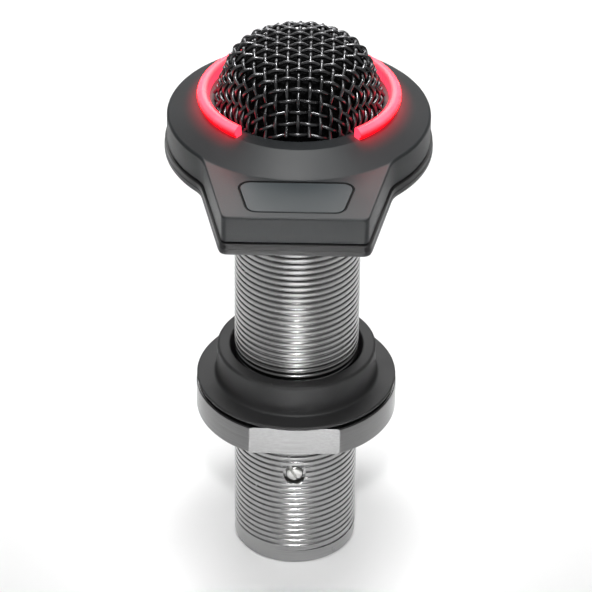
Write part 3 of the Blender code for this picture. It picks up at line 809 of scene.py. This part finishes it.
def tube_mesh(lines, radius, sides=8):
    """Round wires along centrelines, with capped ends."""
    points, faces = [], []
    for line in lines:
        forward = np.gradient(line, axis=0)
        forward /= np.linalg.norm(forward, axis=1)[:, None]
        side = np.cross(forward[0], [0, 0, 1.0])
        if np.linalg.norm(side) < 1e-3:
            side = np.cross(forward[0], [1.0, 0, 0])
        base = len(points)
        for p, t in zip(line, forward):
            side = side - t * (side @ t)
            side /= np.linalg.norm(side)
            other = np.cross(t, side)
            for k in range(sides):
                a = 2 * math.pi * k / sides
                points.append(p + radius * (math.cos(a) * side + math.sin(a) * other))
        for i in range(len(line) - 1):
            faces += band(sides, i, i + 1, base)
        faces += [tuple(base + k for k in range(sides))[::-1],
                  tuple(base + (len(line) - 1) * sides + k for k in range(sides))]
    return points, faces


def build_grille():
    """The woven dome and the plain ring that clamps its rim."""
    wires = tube_mesh(wire_lines(), WIRE_R)
    piece("woven_grille", *wires, "wire", "microphone", "grille_dome", "grille_wire", 60)
    rim = rounded([(14.3, 7.5, 0.1), (16.25, 7.5, 0.1), (16.25, 8.3, 0.1), (15.3, 8.3, 0.1), (15.3, 9.6, 0.1),
                   (14.3, 9.6, 0.1)], 2)
    piece("grille_rim", *turned(rim, 120), "wire", "microphone", slot="grille_wire")


def build_foam():
    """Foam that fills the dome just under the wires, with a slightly uneven skin."""
    rows, sides, points, faces = 40, 120, [], []
    shrink = 0.85
    for i in range(rows):
        s = ARC[-1] * (i + 0.4) / rows
        r, z = np.interp(s, ARC, RADIUS), max(np.interp(s, ARC, HEIGHT), 9.0)
        for k in range(sides):
            a = 2 * math.pi * k / sides
            wave = 0.05 * math.sin(5 * a + s) * math.sin(1.3 * s)
            reach = r - (shrink - wave) * min(1, r / 4)
            drop = shrink * (1 - min(1, r / 15.25) ** 3) - wave * 0.5
            points.append((reach * math.sin(a), -reach * math.cos(a), z - drop))
    for i in range(rows - 1):
        faces += band(sides, i, i + 1)
    faces += [tuple(range(sides)), tuple(range((rows - 1) * sides, rows * sides))[::-1]]
    foam = piece("foam_screen", points, faces, "foam", "microphone", "foam_windscreen", "windscreen_foam", 70)


# ---------------------------------------------------------------- barrel and hardware

def screw_height():
    low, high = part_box("retention_screw")
    return (low.z + high.z) / 2 / MM


def thread_mesh(columns):
    """The helical thread, faded out at both ends, with a round opening for the screw's counterbore."""
    phases = (-0.3, 0.0, 0.3, 0.4, 0.47, 0.53, 0.6)
    depths = (0.0, -0.15, 0.0, 0.5, 1.0, 1.0, 0.5)
    n = len(phases)
    rows = (int((THREAD_TOP - THREAD_BOTTOM) / PITCH) + 3) * n
    points, faces, inside = [], [], []
    middle = screw_height()
    for j in range(rows):
        turn, phase = divmod(j, n)
        for k in range(columns):
            z = THREAD_TOP + PITCH - PITCH * (turn + phases[phase] + 1.0 - k / columns) + PITCH
            fade = max(0.0, min(1.0, (z - THREAD_BOTTOM) / 0.9, (THREAD_TOP - z) / 0.9))
            radius = BARREL_R - DEPTH * depths[phase] * fade
            a = 2 * math.pi * k / columns
            x, z = radius * math.cos(a), min(max(z, THREAD_BOTTOM), THREAD_TOP)
            apart = math.hypot(x, z - middle)
            inside.append(math.sin(a) < 0 and apart < COUNTERBORE_R)
            if inside[-1] and apart > 1e-6:
                grow = COUNTERBORE_R / apart
                x, z = x * grow, middle + (z - middle) * grow
                points.append((x, -math.sqrt(radius * radius - x * x), z))
            else:
                points.append((x, radius * math.sin(a), z))
    for j in range(rows - 1):
        for k in range(columns):
            here = j * columns + k
            if k < columns - 1:
                quad = (here, here + 1, here + columns + 1, here + columns)
            elif j >= n:
                quad = (here, (j - n) * columns, (j - n + 1) * columns, here + columns)
            else:
                continue
            if not all(inside[i] for i in quad):
                faces.append(quad)
    return welded(points, faces)


def welded(points, faces):
    """Merges the points that fall together where the thread fades out, and drops what collapses."""
    work = bmesh.new()
    verts = [work.verts.new(p) for p in points]
    for face in faces:
        work.faces.new([verts[i] for i in face])
    bmesh.ops.remove_doubles(work, verts=work.verts, dist=1e-4)
    bmesh.ops.dissolve_degenerate(work, dist=1e-5, edges=work.edges)
    work.verts.index_update()
    points = [tuple(v.co) for v in work.verts]
    faces = [tuple(v.index for v in f.verts) for f in work.faces]
    work.free()
    return points, faces


def build_barrel():
    """The tube: a helical thread down to a plain band, the connector's socket and a counterbore."""
    columns = 120
    points, faces = thread_mesh(columns)
    profile = [(BARREL_R, THREAD_BOTTOM)] + rounded([
        (BARREL_R, THREAD_BOTTOM, 0), (BARREL_R, BARREL_BOTTOM, 1.0), (SOCKET_R, BARREL_BOTTOM, 0.45),
        (SOCKET_R, SOCKET_TOP, 0.1), (BORE_R, SOCKET_TOP, 0.1), (BORE_R, BARREL_TOP, 0.2),
        (BARREL_R, BARREL_TOP, 0.3), (BARREL_R, THREAD_TOP, 0)], 5)[1:]
    base = len(points)
    for radius, height in profile:
        for k in range(columns):
            a = 2 * math.pi * k / columns
            points.append((radius * math.cos(a), radius * math.sin(a), height))
    for i in range(len(profile) - 1):
        faces += band(columns, i, i + 1, base)
    piece("threaded_barrel", points, faces, "barrel", "microphone", "barrel", "barrel_nickel", 40)
    cup, sides = turned(rounded([
        (2.34, 1.2, 0), (2.34, 2.6, 0), (2.22, 2.8, 0.1), (2.1, 2.7, 0.1), (2.1, 1.6, 0.1),
        (1.05, 1.6, 0), (1.05, 1.2, 0)], 3), 64)
    piece("counterbore", laid_along(cup, (0, -1, 0), (0, -9.0, screw_height())), sides, "barrel",
          "microphone", slot="barrel_nickel")


def build_washer():
    """Stepped rubber washer: a flange with a rounded rim, and the collar that centres the barrel."""
    section = rounded([
        (WASHER_BORE, WASHER_LOW, 0.2), (17.95, WASHER_LOW, 0.2), (WASHER_R, -51.1, 0.5),
        (WASHER_R, -50.45, 0.4), (17.6, -50.42, 0.0), (15.6, WASHER_STEP, 0.5), (15.35, -49.4, 0.5),
        (COLLAR_R, WASHER_HIGH, 0.75), (WASHER_BORE, WASHER_HIGH, 0.4)], 7)
    piece("isolating_washer", *turned(section, 240), "rubber", "isolator", "isolator_washer",
          "isolator_rubber")


def build_nut():
    """Round lock nut with two flats."""
    section = rounded([(NUT_BORE, NUT_LOW, 0.4), (NUT_R, NUT_LOW, 0.4), (NUT_R, NUT_HIGH, 0.4),
                       (NUT_BORE, NUT_HIGH, 0.4)], 4)
    nut = piece("lock_ring", *turned(section, 240), "nut", "lock_nut", "lock_nut", "nut_nickel")
    blocks = []
    for side in (-1, 1):
        edge = [(-13, side * NUT_FLAT), (13, side * NUT_FLAT), (13, side * 26), (-13, side * 26)]
        blocks.append(prism(edge if side > 0 else edge[::-1], -60, -50))
    cut_with(nut, blocks, "nut_flats")


def build_retention_screw():
    """Small slotted screw that lies across the barrel, in its counterbore."""
    place = (0, SCREW_Y, screw_height())
    head = rounded([(0, 0, 0), (0.8, 0, 0), (0.8, 2.2, 0.05), (1.65, 2.2, 0.1), (1.65, 2.85, 0.3),
                    (1.2, 3.12, 0.4), (0.4, 3.15, 0), (0, 3.15, 0)], 4)
    points, faces = turned(head, 64)
    screw = piece("socket_screw", laid_along(points, (0, -1, 0), place), faces,
                  "steel", "microphone", "retention_screw", "screw_steel")
    slot, sides = prism([(-3, -0.3), (3, -0.3), (3, 0.3), (-3, 0.3)], 2.3, 5)
    turned_slot = laid_along(slot, (0, -1, 0), place, math.radians(SLOT_TURN))
    cut_with(screw, [(turned_slot, sides)], "screw_slot")


def dress_frame():
    """Gives each CAD node that stays its own procedural finish."""
    dress = {
        "microphone_capsule": "can", "capsule_boot": "soft", "capsule_carrier": "moulding",
        "lamp_board": "board", "touch_sensor_board": "board", "preamp_board": "board",
        "preamp_chip": "chip", "connector_insert": "moulding", "stem_flange": "steel",
    }
    families = (
        ("case_screw", "steel"), ("flange_screw", "steel"), ("connector_pin", "pin"), ("lamp_", "glow"),
        ("coupling_cap", "can"), ("capsule_lead", "lead"), ("output_lead", "lead"))
    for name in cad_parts:
        for start, finish in families:
            if name.startswith(start) and name not in dress:
                dress[name] = finish
    for name, finish in dress.items():
        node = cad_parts[name]
        if not node.material_slots:
            node.data.materials.append(MATERIALS[finish])
        for held in node.material_slots:
            held.material = MATERIALS[finish]


# ---------------------------------------------------------------- studio

def softbox(name, place, aim, size, power, spread):
    data = bpy.data.lights.new(name, "AREA")
    data.shape, data.size, data.size_y = "RECTANGLE", size[0], size[1]
    data.energy = power
    data.spread = math.radians(spread)
    item = bpy.data.objects.new(name, data)
    item.location = place
    item.rotation_euler = (Vector(aim) - Vector(place)).to_track_quat("-Z", "Y").to_euler()
    item.visible_camera = False
    bpy.context.scene.collection.objects.link(item)


def build_floor():
    floor_z, reach = CAD_LOW.z, 4.0
    corners = [(-reach, -reach), (reach, -reach), (reach, reach), (-reach, reach)]
    mesh = bpy.data.meshes.new("floor")
    mesh.from_pydata([(x, y, floor_z) for x, y in corners], [], [(0, 1, 2, 3)])
    floor = bpy.data.objects.new("floor", mesh)
    pale = Graph("pale_floor")
    cloud = pale.noise(pale.place(), 2.0)
    pale.link(pale.mix(cloud, (0.9, 0.9, 0.9), (0.93, 0.93, 0.93)), pale.shader.inputs["Base Color"])
    pale.set(Roughness=1.0, Specular_IOR_Level=0.0)
    mesh.materials.append(pale.material)
    bpy.context.scene.collection.objects.link(floor)


def build_camera():
    camera = bpy.data.cameras.new("camera")
    camera.lens, camera.sensor_width, camera.shift_x = LENS, SENSOR, SHIFT
    camera.clip_start, camera.clip_end = 0.01, 50
    item = bpy.data.objects.new("camera", camera)
    round_about, above = math.radians(CAMERA_ROUND), math.radians(CAMERA_ABOVE)
    away = Vector((math.sin(round_about) * math.cos(above), -math.cos(round_about) * math.cos(above),
                   math.sin(above)))
    roll = Matrix.Rotation(math.radians(CAMERA_ROLL), 3, "Z")
    turn = (-away).to_track_quat("-Z", "Y").to_matrix() @ roll
    place = Vector((0, 0, AIM_Z)) + away * CAMERA_REACH
    item.matrix_world = Matrix.Translation(place) @ turn.to_4x4()
    bpy.context.scene.collection.objects.link(item)
    bpy.context.scene.camera = item


def build_studio():
    """Pale floor, dim even world, soft lights and the camera."""
    scene = bpy.context.scene
    scene.view_settings.view_transform = "Standard"
    scene.world = bpy.data.worlds.new("studio")
    scene.world.use_nodes = True
    ground = scene.world.node_tree.nodes["Background"]
    ground.inputs["Color"].default_value = (1, 1, 1, 1)
    ground.inputs["Strength"].default_value = WORLD_STRENGTH
    build_floor()
    for light in LIGHTS:
        softbox(*light)
    build_camera()


build_head()
build_plate()
build_pad()
build_light_ring()
build_grille()
build_foam()
build_barrel()
build_washer()
build_nut()
build_retention_screw()
dress_frame()
build_studio()
